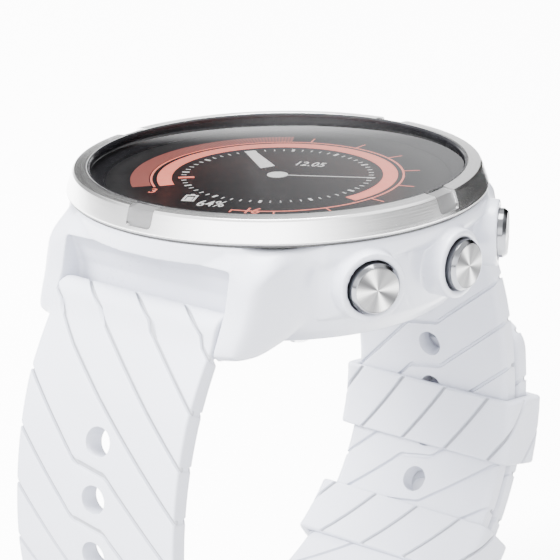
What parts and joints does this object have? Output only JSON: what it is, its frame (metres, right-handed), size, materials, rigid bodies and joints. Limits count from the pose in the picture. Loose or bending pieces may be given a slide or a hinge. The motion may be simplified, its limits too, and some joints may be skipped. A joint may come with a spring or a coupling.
{
  "type": "gps running watch",
  "caption": "Round sports watch with steel bezel, three side pushers, two-part ribbed rubber strap, keepers and pin buckle, stored buckled.",
  "frame": {"origin": "centre of the outer face of the optical sensor window on the back of the case, where the watch meets the wrist", "axes": "+Z out of the dial along the case axis, +Y towards 12 o'clock, +X towards 3 o'clock and the pushers"},
  "size_m": [0.0525, 0.0731, 0.0704],
  "materials": {
    "steel_bezel": "circular brushed sides, polished top rim, four matt flats",
    "glass": "clear polished",
    "lens_ring_black": "glossy black",
    "seal_black": "matt black",
    "holder_black": "black moulded",
    "display": "reflective display with coral graphics",
    "copper": "bare",
    "case_white": "satin white",
    "cover_white": "satin white",
    "sensor_black": "dark translucent",
    "gold": "gold plated",
    "screw_steel": "turned",
    "board_green": "solder resist",
    "frame_grey": "moulded",
    "battery_foil": "foil",
    "motor_steel": "drawn can",
    "pusher_steel": "sunburst face, polished rim",
    "spring_steel": "wire",
    "strap_white": "matt silicone with shallow diagonal grooves",
    "buckle_steel": "brushed with polished edges"
  },
  "bodies": {
    "case": {"case_middle": "case_white", "bezel": "steel_bezel", "crystal": "glass", "crystal_gasket": "lens_ring_black", "bezel_seal": "seal_black", "rear_seal": "seal_black", "display_holder": "holder_black", "display_panel": "display", "antenna_ring": "copper", "rear_cover": "cover_white", "sensor_window": "sensor_black", "charging_contacts": "gold", "rear_screws": "screw_steel", "sensor_board": "board_green", "main_board": "board_green", "switch_board": "board_green", "inner_frame": "frame_grey", "battery": "battery_foil", "vibration_motor": "motor_steel", "pressure_sensor": "motor_steel", "pusher_tubes": "screw_steel", "spring_upper": "spring_steel", "spring_middle": "spring_steel", "spring_lower": "spring_steel", "spring_bar_12": "screw_steel", "release_spring_12": "spring_steel", "spring_bar_6": "screw_steel", "release_spring_6": "spring_steel"},
    "pusher_upper": {"pusher_upper": "pusher_steel", "clip_upper": "screw_steel", "oring_upper": "seal_black"},
    "pusher_middle": {"pusher_middle": "pusher_steel", "clip_middle": "screw_steel", "oring_middle": "seal_black"},
    "pusher_lower": {"pusher_lower": "pusher_steel", "clip_lower": "screw_steel", "oring_lower": "seal_black"},
    "release_12": {"release_12": "screw_steel"},
    "release_6": {"release_6": "screw_steel"},
    "strap_loop": {"strap_short": "strap_white", "strap_long": "strap_white", "keeper_fixed": "strap_white", "buckle_bar": "screw_steel"},
    "keeper_free": {"keeper_free": "strap_white"},
    "buckle_frame": {"buckle_frame": "buckle_steel"},
    "buckle_tongue": {"buckle_tongue": "buckle_steel"}
  },
  "joints": [
    {"name": "pusher_upper_press", "type": "slide", "parent": "case", "child": "pusher_upper", "axis": [-0.8813, -0.4726, 0], "range_m": [0, 0.0008], "stiffness_N_per_m": 1500, "springref_m": -0.001, "deforming": ["spring_upper"]},
    {"name": "pusher_middle_press", "type": "slide", "parent": "case", "child": "pusher_middle", "axis": [-1, 0, 0], "range_m": [0, 0.0008], "stiffness_N_per_m": 1500, "springref_m": -0.001, "deforming": ["spring_middle"]},
    {"name": "pusher_lower_press", "type": "slide", "parent": "case", "child": "pusher_lower", "axis": [-0.8813, 0.4726, 0], "range_m": [0, 0.0008], "stiffness_N_per_m": 1500, "springref_m": -0.001, "deforming": ["spring_lower"]},
    {"name": "release_12_slide", "type": "slide", "parent": "case", "child": "release_12", "axis": [-1, 0, 0], "range_m": [0, 0.0012], "stiffness_N_per_m": 800, "springref_m": -0.001, "deforming": ["release_spring_12"]},
    {"name": "release_6_slide", "type": "slide", "parent": "case", "child": "release_6", "axis": [-1, 0, 0], "range_m": [0, 0.0012], "stiffness_N_per_m": 800, "springref_m": -0.001, "deforming": ["release_spring_6"]},
    {"name": "strap_loop_swing", "type": "hinge", "parent": "case", "child": "strap_loop", "pos_m": [0, 0.0242, 0.0043], "axis": [1, 0, 0], "range_deg": [-3, 3], "stiffness_Nm_per_rad": 1.2, "deforming": ["strap_long"]},
    {"name": "keeper_free_slide", "type": "hinge", "parent": "strap_loop", "child": "keeper_free", "pos_m": [0, 0.00685, -0.021], "axis": [-1, 0, 0], "range_deg": [0, 14]},
    {"name": "buckle_frame_pivot", "type": "hinge", "parent": "strap_loop", "child": "buckle_frame", "pos_m": [0, 0.0078, -0.0466], "axis": [1, 0, 0], "range_deg": [0, 3]},
    {"name": "buckle_tongue_pivot", "type": "hinge", "parent": "buckle_frame", "child": "buckle_tongue", "pos_m": [0, 0.0078, -0.0466], "axis": [1, 0, 0], "range_deg": [0, 2]}
  ]
}
